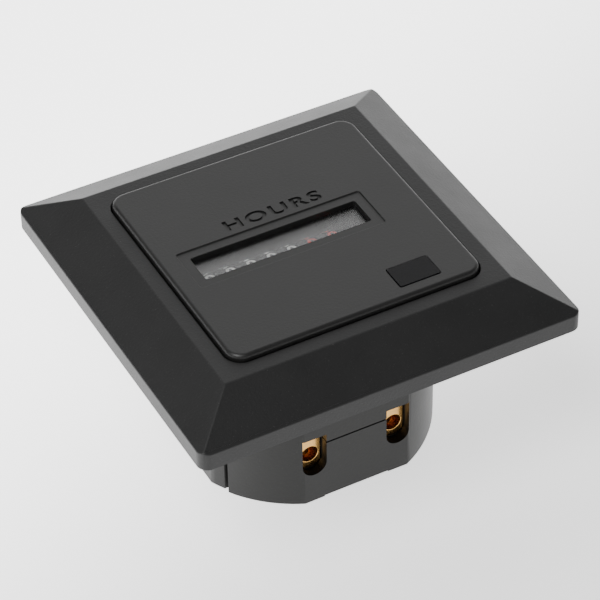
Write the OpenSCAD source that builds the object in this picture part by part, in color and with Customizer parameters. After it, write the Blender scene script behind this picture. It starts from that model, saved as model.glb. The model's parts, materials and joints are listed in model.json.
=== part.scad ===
// Panel hour meter: square adapter bezel, snap-together casing, seven-wheel counter turned by a
// stepping motor through a gear train, striped running indicator and two screw terminals.
// The origin is the centre of the bezel's rear face, +Z points out of the dial, +Y is up as read.

/* [Bezel frame] */
// Outer side of the square bezel
bezel_side = 72; // [69:0.5:80]
// Radius of the bezel's four upright corners
bezel_corner_r = 2; // [0.5:0.25:4]
// Height of the upright rim above the panel
rim_height = 3.3; // [2.8:0.1:4.2]
// Side of the square where the slope ends in the flat ridge
ridge_side = 54.2; // [53:0.1:58]
// Height of the flat ridge above the panel
ridge_height = 8.35; // [7.6:0.05:9.5]
// Thickness of the bezel's moulded walls
bezel_wall = 1.8; // [1.2:0.1:2.2]
// Thickness of the bezel's inner floor, which the meter's flange rests on
bezel_floor = 2; // [1.5:0.1:2.5]
// Thickness of the ribs behind the slopes
bezel_rib_t = 1.2; // [0.8:0.1:2]
// Distance from one rib to the next
bezel_rib_pitch = 20; // [18:0.5:21]

/* [Front cover] */
// Side of the square face plate
plate_side = 47.8; // [47:0.1:49]
// Radius of the face plate's upright corners
plate_corner_r = 3; // [1.5:0.25:4]
// Height of the face above the bezel's ridge
plate_proud = 1.1; // [0.5:0.1:1.8]
// Rounding along the edge of the face
plate_edge_r = 0.8; // [0.3:0.1:1.2]
// Gap between the face plate and the bezel all round
plate_gap = 0.25; // [0.15:0.05:0.5]
// Thickness of the face
cover_top_t = 2; // [1.6:0.1:2.4]
// Thickness of the cover's skirt
cover_wall = 1.6; // [1.2:0.1:2]

/* [Counter window] */
// Place of the window's centre across the face
window_x = -2.5; // [-4:0.1:0]
// Place of the window's centre up the face
window_y = -0.45; // [-1.5:0.05:0.3]
// Width of the window opening
window_w = 31.8; // [30.6:0.1:33]
// Height of the window opening
window_h = 6; // [4.8:0.1:6.4]
// Width of the shallow step round the window opening
window_step = 1.85; // [1:0.05:2.2]
// Depth of the shallow step
window_step_d = 0.25; // [0.15:0.05:0.7]
// Depth of the lens below the face
lens_depth = 1.3; // [1:0.05:1.5]
// Thickness of the counter lens
lens_t = 1.2; // [0.8:0.1:1.6]
// Overlap of the lens past the opening on each side
lens_lap = 0.85; // [0.5:0.05:1.2]

/* [Running indicator] */
// Place of the indicator's centre across the face
indicator_x = 12.8; // [12.4:0.1:13.4]
// Place of the indicator's centre up the face
indicator_y = -18.85; // [-19.2:0.05:-18]
// Width of the indicator lens
indicator_w = 7.75; // [6.5:0.05:8]
// Height of the indicator lens
indicator_h = 5.05; // [4:0.05:5.4]
// Height of the indicator lens above the face
indicator_proud = 0.1; // [0:0.05:0.3]
// Depth of the indicator's axis below the face
indicator_axis_d = 4.55; // [4.45:0.05:4.7]
// Radius of the striped indicator drum
indicator_r = 1.6; // [1.2:0.05:1.65]

/* [Housing] */
// Across the flats of the body behind the panel
body_side = 44.6; // [44:0.1:45.2]
// Diameter across the body's rounded corners
body_round_d = 49; // [48.4:0.1:49.8]
// Depth of the body behind the panel
body_depth = 31.8; // [31.4:0.2:38]
// Thickness of the housing's side walls
housing_wall = 1.8; // [1.4:0.1:2]
// Thickness of the housing's floor
housing_floor = 1.8; // [1.4:0.1:2]
// Thickness of the square flange that seats in the bezel
flange_t = 1.1; // [0.8:0.1:1.5]
// Clearance between the body and the bezel's inner opening
body_gap = 0.2; // [0.1:0.05:0.4]
// Half width of the spring tongues on the left and right sides
tongue_half_w = 13; // [10.5:0.25:13.2]
// Width of the slits beside the spring tongues
tongue_slit = 0.6; // [0.4:0.05:0.9]
// Length of the slits, up from the rear edge
tongue_slit_l = 26; // [20:0.5:28]
// Amount by which a spring tongue is shorter than the body
tongue_short = 0.8; // [0.3:0.1:1.2]

/* [Terminals] */
// Distance of each terminal from the middle
terminal_x = 8.2; // [7.6:0.1:8.6]
// Width of a terminal slot in the housing
slot_w = 4.6; // [4.3:0.1:5]
// Height of a terminal slot in the housing
slot_h = 8.5; // [8:0.1:9]
// Width of a terminal block
block_w = 4.2; // [3.8:0.1:4.2]
// Length of a terminal block, inwards
block_l = 6.5; // [5.5:0.1:7]
// Height of a terminal block
block_h = 8.4; // [8:0.1:8.6]
// Radius of the wire hole in a terminal block
wire_r = 1.6; // [1.2:0.05:1.7]
// Depth of the wire hole
wire_l = 5.5; // [4.4:0.1:5.7]
// Height of the wire hole's axis above the block's lower end
wire_up = 2.8; // [2.6:0.1:3.2]
// Radius of a clamp screw's shank
clamp_r = 1.2; // [0.9:0.05:1.3]
// Radius of a clamp screw's head
clamp_head_r = 2; // [1.7:0.05:2.1]
// Height of a clamp screw's head
clamp_head_h = 1.8; // [1.2:0.1:1.9]

/* [Counter] */
// Place of the first number wheel's middle across the face
first_wheel_x = -15.75; // [-15.9:0.05:-15.5]
// Distance from one number wheel to the next
wheel_pitch = 3.95; // [3.9:0.01:4]
// Radius of the number wheels
drum_r = 5.5; // [5.3:0.05:5.6]
// Depth of the number wheels' front below the face
drum_drop = 4.35; // [4.2:0.05:4.6]
// Place of the number wheels' axis up the face
counter_y = -0.6; // [-0.9:0.05:-0.4]
// Width of a number wheel's rim
rim_w = 2.5; // [2.3:0.05:2.6]
// Width of a number wheel's toothed ring
ring_w = 0.65; // [0.5:0.05:0.7]
// Width of a number wheel's carry disc
carry_w = 0.45; // [0.3:0.05:0.5]
// Radius of the number wheels' shaft
counter_shaft_r = 0.9; // [0.7:0.05:1.1]
// Radius of the carry pinions' shaft
pinion_shaft_r = 0.5; // [0.4:0.05:0.6]

/* [Gear train] */
// Module of the carry gears
carry_module = 0.45; // [0.43:0.01:0.46]
// Module of the first pair, motor to first wheel
first_module = 0.3; // [0.29:0.005:0.305]
// Module of the second pair, first to second wheel
second_module = 0.35; // [0.345:0.005:0.36]
// Module of the last pair, second wheel to counter
last_module = 0.4; // [0.39:0.005:0.41]
// Radius of the wheel arbors
arbor_r = 0.6; // [0.45:0.05:0.65]
// Thickness of the movement's bearing plates
bearing_t = 1; // [0.8:0.1:1.2]
// Width of the gear wheels
gear_w = 0.7; // [0.5:0.05:0.8]

/* [Motor] */
// Radius of the rotor magnet
magnet_r = 2.5; // [2:0.1:2.6]
// Length of the rotor magnet
magnet_l = 1.6; // [1.2:0.1:2]
// Thickness of the stator plate
stator_t = 1.2; // [0.8:0.1:1.4]
// Air gap between the magnet and the stator
air_gap = 0.3; // [0.2:0.05:0.4]
// Outer size of the coil's square section
coil_size = 3.9; // [3:0.1:3.9]
// Length of the coil with its flanges
coil_l = 8; // [6:0.1:8]

/* [Circuit board] */
// Thickness of the circuit board
board_t = 1.6; // [1.2:0.1:1.6]
// Height of the free space between the number wheels' axis and the board
board_drop = 14.6; // [14.6:0.1:15]

/* [Clearances] */
// Radial clearance of a turning arbor in its bearing
run_clear = 0.06; // [0.04:0.01:0.1]
// Clearance of a fixed pin, shaft or core in its hole
fix_clear = 0.02; // [0.01:0.01:0.05]
// Clearance of a piece that drops into its place
seat_clear = 0.1; // [0.05:0.05:0.2]
// Share of the tooth pitch that is left free between two gears
backlash = 0.14; // [0.1:0.01:0.2]

/* [Hidden] */
$fn = 64;
eps = 0.05;
over = 1;

WHEELS = ["wheel_ten_thousands", "wheel_thousands", "wheel_hundreds", "wheel_tens",
    "wheel_units", "wheel_tenths", "wheel_hundredths"];
wheel_count = len(WHEELS);
PINIONS = [for (k = [1 : wheel_count - 1]) str("carry_pinion_", k)];

black_plastic = [0.17, 0.17, 0.17];
grey_plastic = [0.28, 0.28, 0.28];
brass = [0.8, 0.63, 0.33];
steel = [0.72, 0.72, 0.74];

// Casing levels along Z
plate_top = ridge_height + plate_proud;
flange_z0 = bezel_floor;
flange_z1 = flange_z0 + flange_t;
cover_under = plate_top - cover_top_t;
lens_top = plate_top - lens_depth;
body_half = body_side / 2;
body_r = body_round_d / 2;
inner_half = body_half - housing_wall;
inner_r = body_r - housing_wall;
floor_z = housing_floor - body_depth;
recess_side = plate_side + 2 * plate_gap;

// Tooth counts and shapes of the gears
carry_teeth = 8;
ring_teeth = 20;
drive_teeth = 24;
leaf_teeth = 8;
wheel_teeth = 40;
indicator_teeth = 13;
pressure_angle = 20;
wheel_addendum = 0.5;
wheel_dedendum = 1.05;
pinion_addendum = 0.8;
pinion_dedendum = 0.8;
flank_steps = 4;
shoulder = 0.5;
rotor_shoulder = 0.2;

// Axes of the movement as [y, z], all parallel to X
carry_angle = -20;
wheel_axis = [counter_y, plate_top - drum_drop - drum_r];
carry_axis = wheel_axis + mesh_distance(carry_teeth, ring_teeth, carry_module)
    * [cos(carry_angle), sin(carry_angle)];
indicator_axis = [indicator_y, plate_top - indicator_axis_d];
indicator_reach = mesh_distance(indicator_teeth, wheel_teeth, first_module);
indicator_rise = indicator_axis[1] - wheel_axis[1];
first_axis = [indicator_axis[0] + sqrt(indicator_reach ^ 2 - indicator_rise ^ 2), wheel_axis[1]];
second_axis = lower_crossing(first_axis, mesh_distance(leaf_teeth, wheel_teeth, second_module),
    wheel_axis, mesh_distance(leaf_teeth, drive_teeth, last_module));
rotor_axis = first_axis - [0, mesh_distance(leaf_teeth, wheel_teeth, first_module)];

// Stations of the movement along X, counted from the last number wheel and the middle cheek
last_wheel_x = first_wheel_x + (wheel_count - 1) * wheel_pitch;
drive_x0 = last_wheel_x + rim_w / 2;
side_play = 0.15;
gear_play = 0.5;
bridge_play = 0.6;
gear_overlap = 0.1;
first_gear_back = 2.2;
motor_post_l = 4;
magnet_play = 1;
cheek_x0 = drive_x0 + gear_w + gear_play;
cheek_x1 = cheek_x0 + bearing_t;
left_x1 = first_wheel_x - rim_w / 2 - carry_w - side_play;
left_x0 = left_x1 - bearing_t;
first_gear_x0 = cheek_x0 - first_gear_back;
leaf_x0 = cheek_x1 + gear_play;
leaf_w = gear_w + gear_overlap;
bridge_x0 = leaf_x0 + leaf_w + bridge_play;
bridge_x1 = bridge_x0 + bearing_t;
stator_x1 = cheek_x0 - motor_post_l;
stator_x0 = stator_x1 - stator_t;
magnet_x0 = (stator_x0 + stator_x1 - magnet_l) / 2;
motor_bridge_x1 = magnet_x0 - magnet_play;
motor_bridge_x0 = motor_bridge_x1 - bearing_t;

// Frame of the movement
boss_r = 2;
base_play = 0.8;
base_top = wheel_axis[1] - drum_r - base_play;
base_t = 1.2;
base_margin = 0.6;
base_y0 = wheel_axis[0] - boss_r - base_margin;
base_y1 = carry_axis[0] + boss_r + base_margin;
pad_rise = 2.4;
pad_top = wheel_axis[1] + pad_rise;
pad_half = 1.6;
leg_r = 1.4;
cover_post_r = 1.1;
post_r = 1.3;
arm_r = 1.6;
screw_r = 0.6;
screw_head_r = 1.15;
screw_head_h = 0.9;
screw_slot_w = 0.4;
motor_post_reach = 4.5;
motor_post_drop = 1.9;
motor_posts = [for (side = [-1, 1]) rotor_axis + [side * motor_post_reach, -motor_post_drop]];
low_post_reach = [-2.6, -4.2];
high_post_reach = [9.1, 0];
bridge_posts = [first_axis + low_post_reach, second_axis + high_post_reach];

// Motor magnetic circuit
core_w = 1;
core_h = 1.4;
bobbin_wall = 0.35;
bobbin_flange_t = 0.6;
neck_t = 0.6;
stator_leg_w = 2.2;
winding_inset = 0.15;
winding_r = 0.9;
coil_end_gap = 0.4;
coil_top_gap = 0.05;
stator_half = coil_l / 2 + coil_end_gap + stator_leg_w;
stator_z0 = rotor_axis[1] - magnet_r - air_gap - neck_t;
coil_z = stator_z0 - coil_top_gap - coil_size / 2;
coil_x = stator_x1 + core_w / 2;

// Circuit board and terminals
board_top = wheel_axis[1] - board_drop;
board_z0 = board_top - board_t;
board_gap = 0.4;
block_z1 = board_z0;
block_z0 = block_z1 - block_h;
block_set_back = 0.2;
block_y0 = block_set_back - inner_half;
block_y1 = block_y0 + block_l;
wire_z = block_z0 + wire_up;
slot_drop = 0.3;
slot_top = board_z0 - slot_drop;
clamp_in = 0.3;
clamp_y = block_y0 + wire_l / 2 + clamp_in;
clamp_tip_gap = 0.15;
clamp_tip_z = wire_z - wire_r - clamp_tip_gap;
clamp_travel = 1.8;
clamp_head_z1 = block_z0 - clamp_travel;
clamp_slot_w = 0.6;
clamp_slot_d = 0.8;
block_corner_r = 0.5;
shelf_t = 1.2;
nest_wall = 1.2;
driver_clear = 0.4;
driver_hole_r = clamp_head_r + driver_clear;
solder_pin_r = 0.5;
solder_pin_in = 1.4;
solder_pin_y = block_y0 + solder_pin_in;
lead_r = 0.35;
bent_lead_r = 0.3;
lead_clear = 0.1;
lead_past = 0.8;
lead_l = board_t + lead_past;
seam_drop = 1.7;
seam_w = 0.32;
rear_notch_half = 6.3;
rear_notch = 0.45;

// Components: place of each one's middle on the board
part_floor_gap = 2.4;
tall_part_h = board_z0 - floor_z - part_floor_gap;
film_cap = [13, 6];
film_cap_corner_r = 0.6;
film_cap_at = [-8.5, 7];
can_r = 3.15;
can_bead_up = 1.8;
can_bead_r = 0.5;
can_bead_out = 0.15;
can_at = [7, 8.5];
resistor_r = 1.2;
resistor_l = 6.4;
resistor_waist = 0.2;
resistor_cap_l = 1.4;
resistor_up = 0.2;
resistor_at = [-6.4, -5.5];
resistor_span = 10;
rectifier = [6.5, 5, 3.2];
rectifier_corner_r = 0.5;
rectifier_at = [5.5, -4.5];
chip = [5, 4, 1.5];
chip_at = [-8, 13];
crystal_r = 1;
crystal_l = 6;
crystal_at = [4.5, 13];
film_cap_span = 10;
can_span = 2.5;
rectifier_span = [5.08, 3.8];
crystal_span = 1.1;
crystal_bend = 0.9;
crystal_collar = 0.05;
crystal_collar_l = 0.8;
crystal_lead_in = 0.3;
film_cap_leads = [for (side = [-1, 1]) film_cap_at + [side * film_cap_span / 2, 0]];
can_leads = [for (side = [-1, 1]) can_at + [side * can_span / 2, 0]];
resistor_leads = [for (side = [-1, 1]) resistor_at + [side * resistor_span / 2, 0]];
rectifier_leads = [for (a = [-1, 1], b = [-1, 1])
    rectifier_at + [a * rectifier_span[0], b * rectifier_span[1]] / 2];
crystal_lead_x = -crystal_l / 2 - crystal_bend;
crystal_leads = [for (side = [-1, 1]) crystal_at + [crystal_lead_x, side * crystal_span / 2]];
coil_pin_r = 0.3;
coil_pin_in = 1;
coil_pin_half = 1.3;
coil_pin_y = rotor_axis[0] + (coil_l - bobbin_flange_t) / 2;
coil_pin_at = [for (side = [-1, 1]) [coil_x + side * coil_pin_half, coil_pin_y]];

// Distance between the axes of two meshing gears
function mesh_distance(teeth_a, teeth_b, module_size) = (teeth_a + teeth_b) * module_size / 2;

// Crossing of two circles that has the lower second coordinate
function lower_crossing(a, ra, b, rb) =
    let (
        d = norm(b - a),
        u = (b - a) / d,
        along = (ra ^ 2 - rb ^ 2 + d ^ 2) / (2 * d),
        side = sqrt(ra ^ 2 - along ^ 2),
        p = a + along * u + side * [u[1], -u[0]],
        q = a + along * u - side * [u[1], -u[0]]
    )
    p[1] < q[1] ? p : q;

// Direction from one axis to another, in degrees
function direction(a, b) = atan2(b[1] - a[1], b[0] - a[0]);

// Turn of gear b that puts a gap of it opposite a tooth of gear a
function mesh_turn(teeth_a, turn_a, teeth_b, toward_b) =
    toward_b + 180 - (0.5 - (toward_b - turn_a) * teeth_a / 360) * 360 / teeth_b;

// Involute function in degrees
function involute(angle) = tan(angle) * 180 / PI - angle;

// Half angle of a tooth at radius r
function tooth_half(teeth, pitch_r, r) =
    let (base_r = pitch_r * cos(pressure_angle))
    90 / teeth * (1 - backlash) + involute(pressure_angle)
        - (r > base_r ? involute(acos(base_r / r)) : 0);

function polar(r, angle) = r * [cos(angle), sin(angle)];

// Outline of a gear with involute flanks; every gives the step from one tooth to the next,
// and slim takes an angle off each flank
module gear_2d(teeth, module_size, addendum, dedendum, turn, every = 1, slim = 0) {
    pitch_r = teeth * module_size / 2;
    root_r = pitch_r - dedendum * module_size;
    tip_r = pitch_r + addendum * module_size;
    radii = [for (i = [0 : flank_steps]) root_r + (tip_r - root_r) * i / flank_steps];
    halves = [for (r = radii) tooth_half(teeth, pitch_r, r) - slim];
    polygon([for (t = [0 : every : teeth - 1]) let (mid = turn + t * 360 / teeth)
        each concat(
            [for (i = [0 : flank_steps]) polar(radii[i], mid - halves[i])],
            [for (i = [flank_steps : -1 : 0]) polar(radii[i], mid + halves[i])])]);
}

module wheel_2d(teeth, module_size, turn) {
    gear_2d(teeth, module_size, wheel_addendum, wheel_dedendum, turn);
}

module pinion_2d(teeth, module_size, turn) {
    gear_2d(teeth, module_size, pinion_addendum, pinion_dedendum, turn);
}

// Extrudes a [y, z] outline along X
module along_x(x0, x1) {
    translate([x0, 0, 0]) rotate([90, 0, 90]) linear_extrude(x1 - x0) children();
}

// Round bar along X
module rod_x(axis, r, x0, x1) {
    along_x(x0, x1) translate(axis) circle(r);
}

// Bar between two points, a little slimmer than the round bosses of radius r at its ends
module bar_2d(a, b, r) {
    half = r - eps;
    translate(a) rotate(direction(a, b)) translate([0, -half]) square([norm(b - a), 2 * half]);
}

// Strip with round ends between two points
module strip_2d(a, b, r) {
    translate(a) circle(r);
    translate(b) circle(r);
    bar_2d(a, b, r);
}

module rounded_square_2d(w, h, r) {
    square([w - 2 * r, h], center = true);
    square([w, h - 2 * r], center = true);
    for (x = [-1, 1], y = [-1, 1])
        translate([x * (w / 2 - r), y * (h / 2 - r)]) circle(r);
}

module rounded_prism(w, h, r, z0, z1) {
    translate([0, 0, z0]) linear_extrude(z1 - z0) rounded_square_2d(w, h, r);
}

// Upright block given by its corner and its size
module block(x0, x1, y0, y1, z0, z1) {
    translate([x0, y0, z0]) cube([x1 - x0, y1 - y0, z1 - z0]);
}

// Square body with its corners cut by a circle
module body_prism(half, r, z0, z1) {
    intersection() {
        block(-half, half, -half, half, z0, z1);
        translate([0, 0, z0]) cylinder(r = r, h = z1 - z0);
    }
}

// Section of a plate's edge: upright side with a rounded top corner
module edge_2d(w, z0, z1, r) {
    translate([0, z0]) square([w, z1 - z0 - r]);
    translate([0, z0]) square([w - r, z1 - z0]);
    translate([w - r, z1 - r]) circle(r);
}

// Square plate with upright corner rounding and a rounded top edge
module rounded_plate(side, corner_r, z0, z1, edge_r) {
    straight = side - 2 * corner_r;
    translate([0, 0, z0]) linear_extrude(z1 - z0) square(straight, center = true);
    for (a = [0 : 90 : 270]) rotate(a) {
        translate([straight / 2, straight / 2, 0]) rotate_extrude(angle = 90)
            edge_2d(corner_r, z0, z1, edge_r);
        translate([straight / 2, straight / 2, 0]) rotate([90, 0, 0]) linear_extrude(straight)
            edge_2d(corner_r, z0, z1, edge_r);
    }
}

// Prism along Y with the bezel's section, given by its half widths and heights
module slope_prism(low_half, low_z, high_half, high_z, z0, length) {
    translate([0, length / 2, 0]) rotate([90, 0, 0]) linear_extrude(length)
        polygon([[-low_half, z0], [low_half, z0], [low_half, low_z],
            [high_half, high_z], [-high_half, high_z], [-low_half, low_z]]);
}

module slope_block(low_half, low_z, high_half, high_z, z0) {
    intersection() {
        slope_prism(low_half, low_z, high_half, high_z, z0, 2 * low_half);
        rotate(90) slope_prism(low_half, low_z, high_half, high_z, z0, 2 * low_half);
    }
}

// Space behind the bezel's slopes, between its rim and its collar
module bezel_core() {
    slope_run = (bezel_side - ridge_side) / 2;
    slope_rise = ridge_height - rim_height;
    slope_drop = bezel_wall * norm([slope_run, slope_rise]) / slope_run;
    core_half = bezel_side / 2 - bezel_wall;
    core_low = rim_height - slope_drop + bezel_wall * slope_rise / slope_run;
    core_high = ridge_height - bezel_wall;
    core_top_half = core_half - (core_high - core_low) * slope_run / slope_rise;
    collar = recess_side + 2 * bezel_wall;
    difference() {
        slope_block(core_half, core_low, core_top_half, core_high, -over);
        rounded_prism(collar, collar, plate_corner_r + bezel_wall, -2 * over, ridge_height);
        for (a = [0, 90], step = [-1 : 1]) rotate(a)
            translate([step * bezel_rib_pitch, 0, 0])
                block(-bezel_rib_t / 2, bezel_rib_t / 2, -bezel_side, bezel_side, -2 * over, ridge_height);
    }
}

module bezel_frame() {
    color(black_plastic) difference() {
        intersection() {
            slope_block(bezel_side / 2, rim_height, ridge_side / 2, ridge_height, 0);
            rounded_prism(bezel_side, bezel_side, bezel_corner_r, -over, ridge_height + over);
        }
        rounded_prism(recess_side, recess_side, plate_corner_r + plate_gap, bezel_floor,
            ridge_height + over);
        body_prism(body_half + body_gap, body_r + body_gap, -over, bezel_floor + over);
        bezel_core();
    }
}

// Corner pegs that hold the cover in the flange's holes
peg_r = 0.8;
peg_boss_r = 1.8;
peg_boss_sink = 0.2;
peg_at = plate_side / 2 - cover_wall - peg_boss_r + peg_boss_sink;
module at_pegs() {
    for (x = [-1, 1], y = [-1, 1]) translate([x * peg_at, y * peg_at, 0]) children();
}

bracket_t = 1;
bracket_r = 1.2;
bracket_back = 1.6;
bracket_past = 0.25;
bracket_x = [first_gear_x0 - bracket_back, indicator_x + indicator_w / 2 + bracket_past];
rebate_w = window_w + 2 * (lens_lap + seat_clear);
rebate_h = window_h + 2 * (lens_lap + seat_clear);
cover_inside_r = 1;
window_corner_r = 0.3;
lens_corner_r = 0.5;
indicator_corner_r = 0.3;
indicator_tab_t = 0.6;
indicator_tab_in = 1;
indicator_tab_out = 0.5;
indicator_gear_r = (indicator_teeth / 2 + pinion_addendum) * first_module;
module front_cover() {
    inside = plate_side - 2 * cover_wall;
    color(grey_plastic) difference() {
        union() {
            difference() {
                rounded_plate(plate_side, plate_corner_r, flange_z1, plate_top, plate_edge_r);
                rounded_prism(inside, inside, cover_inside_r, flange_z1 - over, cover_under);
            }
            at_pegs() {
                translate([0, 0, flange_z1]) cylinder(r = peg_boss_r, h = cover_under - flange_z1 + eps);
                translate([0, 0, flange_z0]) cylinder(r = peg_r, h = flange_t + eps);
            }
            for (x = bracket_x) along_x(x, x + bracket_t)
                strip_2d(indicator_axis, [indicator_axis[0], cover_under], bracket_r);
            for (x = [left_x0 + bearing_t / 2, cheek_x0 + bearing_t / 2])
                translate([x, carry_axis[0], pad_top])
                    cylinder(r = cover_post_r, h = cover_under - pad_top + eps);
        }
        translate([window_x, window_y, 0]) {
            rounded_prism(window_w + 2 * window_step, window_h + 2 * window_step, lens_corner_r,
                plate_top - window_step_d, plate_top + over);
            rounded_prism(window_w, window_h, window_corner_r, cover_under - over, plate_top);
            rounded_prism(rebate_w, rebate_h, lens_corner_r, cover_under - over, lens_top);
        }
        translate([indicator_x, indicator_y, 0])
            rounded_prism(indicator_w + 2 * seat_clear, indicator_h + 2 * seat_clear,
                indicator_corner_r + seat_clear, cover_under - over / 2, plate_top + over);
        rod_x(indicator_axis, arbor_r + run_clear, bracket_x[0] - over, bracket_x[1] + bracket_t + over);
    }
}

module window_lens() {
    w = window_w + 2 * lens_lap;
    h = window_h + 2 * lens_lap;
    color([0.8, 0.85, 0.88, 0.35]) translate([window_x, window_y, 0])
        rounded_prism(w, h, lens_corner_r, lens_top - lens_t, lens_top);
}

module indicator_lens() {
    color([0.1, 0.09, 0.09, 0.8]) translate([indicator_x, indicator_y, 0]) {
        rounded_prism(indicator_w, indicator_h, indicator_corner_r, cover_under,
            plate_top + indicator_proud);
        rounded_prism(indicator_w - 2 * indicator_tab_in, indicator_h + 2 * indicator_tab_out,
            indicator_corner_r, cover_under - indicator_tab_t, cover_under);
    }
}

// Cuts that free the spring tongues on the left and right sides
module tongue_cuts() {
    slit_x0 = sqrt((inner_r - board_gap) ^ 2 - tongue_half_w ^ 2);
    for (side = [0, 180]) rotate(side) {
        for (y = [-1, 1])
            block(slit_x0, body_half + over, y * tongue_half_w - tongue_slit / 2,
                y * tongue_half_w + tongue_slit / 2, -body_depth - over, tongue_slit_l - body_depth);
        intersection() {
            block(inner_half / 2, body_half + over, -tongue_half_w, tongue_half_w,
                -body_depth - over, floor_z + eps);
            union() {
                difference() {
                    body_prism(inner_half, inner_r, -body_depth - over, floor_z + over);
                    body_prism(inner_half - board_gap, inner_r - board_gap, -body_depth - 2 * over,
                        floor_z + 2 * over);
                }
                difference() {
                    body_prism(body_half + over, body_r + over, -body_depth - over,
                        tongue_short - body_depth);
                    body_prism(inner_half - eps, inner_r - eps, -body_depth - 2 * over,
                        tongue_short - body_depth + over);
                }
            }
        }
    }
}

// Walls inside the housing that hold one terminal block
module terminal_nest(x) {
    half = block_w / 2 + seat_clear + nest_wall;
    block(x - half, x + half, -inner_half - eps, block_y1 + seat_clear + nest_wall, floor_z - eps,
        board_z0 - seat_clear);
}

// Pocket, slot, screw passage and driver hole of one terminal
module terminal_cuts(x) {
    slot_r = slot_w / 2;
    pocket_half = block_w / 2 + seat_clear;
    block(x - pocket_half, x + pocket_half, -inner_half, block_y1 + seat_clear, block_z0, board_z0);
    translate([x, -inner_half + eps, 0]) rotate([90, 0, 0]) linear_extrude(housing_wall + over) {
        translate([-slot_r, slot_top - slot_h + slot_r]) square([slot_w, slot_h - slot_r]);
        translate([0, slot_top - slot_h + slot_r]) circle(slot_r);
    }
    translate([x, clamp_y, -body_depth - over])
        cylinder(r = driver_hole_r, h = block_z0 - shelf_t + body_depth + over);
    translate([x, clamp_y, -body_depth])
        cylinder(r = clamp_r + driver_clear, h = block_z0 + body_depth + eps);
}

corner_post = 3.4;
corner_post_in = 0.85;
corner_post_at = inner_r / sqrt(2) - corner_post_in;
drum_relief = 0.2;
module rear_housing() {
    color(black_plastic) difference() {
        union() {
            difference() {
                union() {
                    rounded_prism(plate_side, plate_side, plate_corner_r, flange_z0, flange_z1);
                    body_prism(body_half, body_r, -body_depth, flange_z1);
                }
                body_prism(inner_half, inner_r, floor_z, flange_z1 + over);
            }
            for (x = [-1, 1], y = [-1, 1])
                translate([x * corner_post_at, y * corner_post_at, floor_z - eps])
                    linear_extrude(board_z0 - floor_z + eps) square(corner_post, center = true);
            for (x = [-terminal_x, terminal_x]) terminal_nest(x);
        }
        for (x = [-terminal_x, terminal_x]) terminal_cuts(x);
        at_pegs() translate([0, 0, flange_z0 - over])
            cylinder(r = peg_r + seat_clear, h = flange_t + 2 * over);
        tongue_cuts();
        rod_x(indicator_axis, indicator_gear_r + drum_relief, bracket_x[0] - drum_relief,
            bracket_x[1] + bracket_t + drum_relief);
        block(slot_w / 2 - terminal_x, terminal_x - slot_w / 2, -body_half - over, -inner_half,
            slot_top - seam_drop - seam_w, slot_top - seam_drop);
        block(-rear_notch_half, rear_notch_half, -body_half - over, -inner_half,
            -body_depth - over, rear_notch - body_depth);
    }
}

// Brass block with its wire hole, clamp screw hole and solder pin
module terminal(x) {
    color(brass) difference() {
        union() {
            translate([x, block_y1, 0]) rotate([90, 0, 0]) linear_extrude(block_l)
                translate([0, (block_z0 + block_z1) / 2]) rounded_square_2d(block_w, block_h, block_corner_r);
            translate([x, solder_pin_y, block_z1 - eps]) cylinder(r = solder_pin_r, h = lead_l + eps);
        }
        translate([x, block_y0 + wire_l, wire_z]) rotate([90, 0, 0]) cylinder(r = wire_r, h = wire_l + over);
        translate([x, clamp_y, block_z0 - over]) cylinder(r = clamp_r + run_clear, h = wire_up + over);
    }
}

module terminal_left() {
    terminal(-terminal_x);
}

module terminal_right() {
    terminal(terminal_x);
}

// Slotted clamp screw, reached from the rear
module terminal_screw(x) {
    head_z0 = clamp_head_z1 - clamp_head_h;
    color(steel) translate([x, clamp_y, 0]) difference() {
        union() {
            translate([0, 0, head_z0]) cylinder(r = clamp_head_r, h = clamp_head_h);
            translate([0, 0, head_z0]) cylinder(r = clamp_r, h = clamp_tip_z - head_z0);
        }
        block(-clamp_head_r - over, clamp_head_r + over, -clamp_slot_w / 2, clamp_slot_w / 2,
            head_z0 - over, head_z0 + clamp_slot_d);
    }
}

module terminal_screw_left() {
    terminal_screw(-terminal_x);
}

module terminal_screw_right() {
    terminal_screw(terminal_x);
}

// Cheek outline that carries the two counter shafts
module cheek_2d() {
    translate([base_y0, base_top - base_t]) square([base_y1 - base_y0, wheel_axis[1] - base_top + base_t]);
    translate(wheel_axis) circle(boss_r + base_margin);
    translate([carry_axis[0] - pad_half, carry_axis[1]]) square([2 * pad_half, pad_top - carry_axis[1]]);
}

// Arms of the middle cheek that carry the gear train and the motor
module arms_2d() {
    for (axis = [first_axis, second_axis, rotor_axis]) translate(axis) circle(boss_r);
    for (arm = [[wheel_axis, second_axis], [second_axis, first_axis], [first_axis, rotor_axis],
        [second_axis, rotor_axis]]) bar_2d(arm[0], arm[1], boss_r);
    for (p = concat(motor_posts, bridge_posts)) translate(p) circle(arm_r);
    bar_2d(motor_posts[0], motor_posts[1], arm_r);
    bar_2d(rotor_axis, motor_posts[0], arm_r);
    bar_2d(bridge_posts[0], first_axis, arm_r);
    bar_2d(bridge_posts[1], wheel_axis, arm_r);
}

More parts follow.
